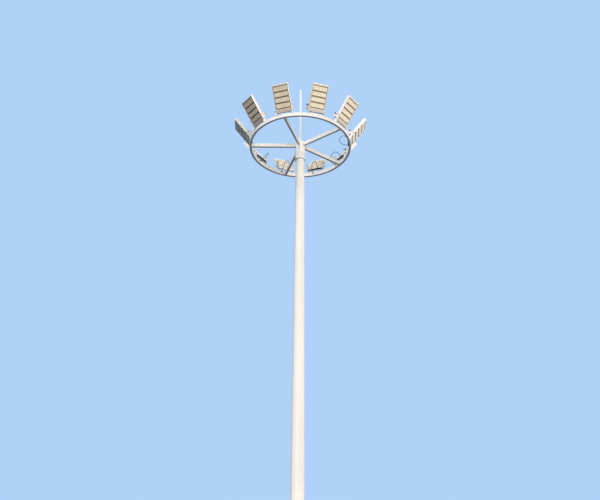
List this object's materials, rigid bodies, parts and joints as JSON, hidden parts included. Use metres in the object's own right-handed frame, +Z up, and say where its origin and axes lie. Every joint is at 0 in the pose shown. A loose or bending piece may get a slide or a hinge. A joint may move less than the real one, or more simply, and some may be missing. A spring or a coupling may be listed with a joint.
{
  "type": "high mast floodlight tower",
  "caption": "Tall tapered steel mast on a bolted flange, with a ring of tilting LED floodlights on a spoked head frame and a lightning rod on top.",
  "frame": {"origin": "centre of the base flange's underside, on the foundation's top", "axes": "+Z up along the mast, +X towards floodlight_01, -Y towards the access door"},
  "size_m": [3.071, 3.0356, 26.302],
  "materials": {
    "mast_paint": "white paint on galvanised steel, satin",
    "frame_paint": "white paint on steel tube, satin",
    "flange_steel": "hot dip galvanised plate",
    "light_paint": "white powder coat on aluminium",
    "module_aluminium": "cream lens plates on pale anodised heat sinks",
    "gland_plastic": "black moulded plastic",
    "lead_rubber": "black rubber sheath"
  },
  "bodies": {
    "mast": {"base_flange": "flange_steel", "base_gussets": "flange_steel", "mast_lower": "mast_paint", "mast_middle": "mast_paint", "mast_upper": "mast_paint", "access_door": "mast_paint", "door_frame": "mast_paint", "hub_sleeve": "frame_paint", "hub_cap": "frame_paint", "lightning_rod": "frame_paint", "ring": "frame_paint", "spokes": "frame_paint", "floodlight_brackets": "frame_paint", "ring_glands": "gland_plastic", "lead_01": "lead_rubber", "lead_02": "lead_rubber", "lead_03": "lead_rubber", "lead_04": "lead_rubber", "lead_05": "lead_rubber"},
    "floodlight_01": {"floodlight_01_frame": "light_paint", "floodlight_01_modules": "module_aluminium"},
    "floodlight_02": {"floodlight_02_frame": "light_paint", "floodlight_02_modules": "module_aluminium"},
    "floodlight_03": {"floodlight_03_frame": "light_paint", "floodlight_03_modules": "module_aluminium"},
    "floodlight_04": {"floodlight_04_frame": "light_paint", "floodlight_04_modules": "module_aluminium"},
    "floodlight_05": {"floodlight_05_frame": "light_paint", "floodlight_05_modules": "module_aluminium"},
    "floodlight_06": {"floodlight_06_frame": "light_paint", "floodlight_06_modules": "module_aluminium"},
    "floodlight_07": {"floodlight_07_frame": "light_paint", "floodlight_07_modules": "module_aluminium"},
    "floodlight_08": {"floodlight_08_frame": "light_paint", "floodlight_08_modules": "module_aluminium"},
    "floodlight_09": {"floodlight_09_frame": "light_paint", "floodlight_09_modules": "module_aluminium"},
    "floodlight_10": {"floodlight_10_frame": "light_paint", "floodlight_10_modules": "module_aluminium"}
  },
  "joints": [
    {"name": "tilt_01", "type": "hinge", "parent": "mast", "child": "floodlight_01", "pos_m": [1.15, 0, 24.808], "axis": [0, 1, 0], "range_deg": [-30, 55], "deforming": ["lead_01"]},
    {"name": "tilt_02", "type": "hinge", "parent": "mast", "child": "floodlight_02", "pos_m": [0.93037, 0.67595, 24.808], "axis": [-0.5878, 0.809, 0], "range_deg": [-30, 55], "deforming": ["lead_02"]},
    {"name": "tilt_03", "type": "hinge", "parent": "mast", "child": "floodlight_03", "pos_m": [0.35537, 1.09371, 24.808], "axis": [-0.9511, 0.309, 0], "range_deg": [-30, 55], "deforming": ["lead_03"]},
    {"name": "tilt_04", "type": "hinge", "parent": "mast", "child": "floodlight_04", "pos_m": [-0.35537, 1.09371, 24.808], "axis": [-0.9511, -0.309, 0], "range_deg": [-30, 55], "deforming": ["lead_04"]},
    {"name": "tilt_05", "type": "hinge", "parent": "mast", "child": "floodlight_05", "pos_m": [-0.93037, 0.67595, 24.808], "axis": [-0.5878, -0.809, 0], "range_deg": [-30, 55], "deforming": ["lead_05"]},
    {"name": "tilt_06", "type": "hinge", "parent": "mast", "child": "floodlight_06", "pos_m": [-1.15, 0, 24.808], "axis": [0, -1, 0], "range_deg": [-30, 55]},
    {"name": "tilt_07", "type": "hinge", "parent": "mast", "child": "floodlight_07", "pos_m": [-0.93037, -0.67595, 24.808], "axis": [0.5878, -0.809, 0], "range_deg": [-30, 55]},
    {"name": "tilt_08", "type": "hinge", "parent": "mast", "child": "floodlight_08", "pos_m": [-0.35537, -1.09371, 24.808], "axis": [0.9511, -0.309, 0], "range_deg": [-30, 55]},
    {"name": "tilt_09", "type": "hinge", "parent": "mast", "child": "floodlight_09", "pos_m": [0.35537, -1.09371, 24.808], "axis": [0.9511, 0.309, 0], "range_deg": [-30, 55]},
    {"name": "tilt_10", "type": "hinge", "parent": "mast", "child": "floodlight_10", "pos_m": [0.93037, -0.67595, 24.808], "axis": [0.5878, 0.809, 0], "range_deg": [-30, 55]}
  ]
}
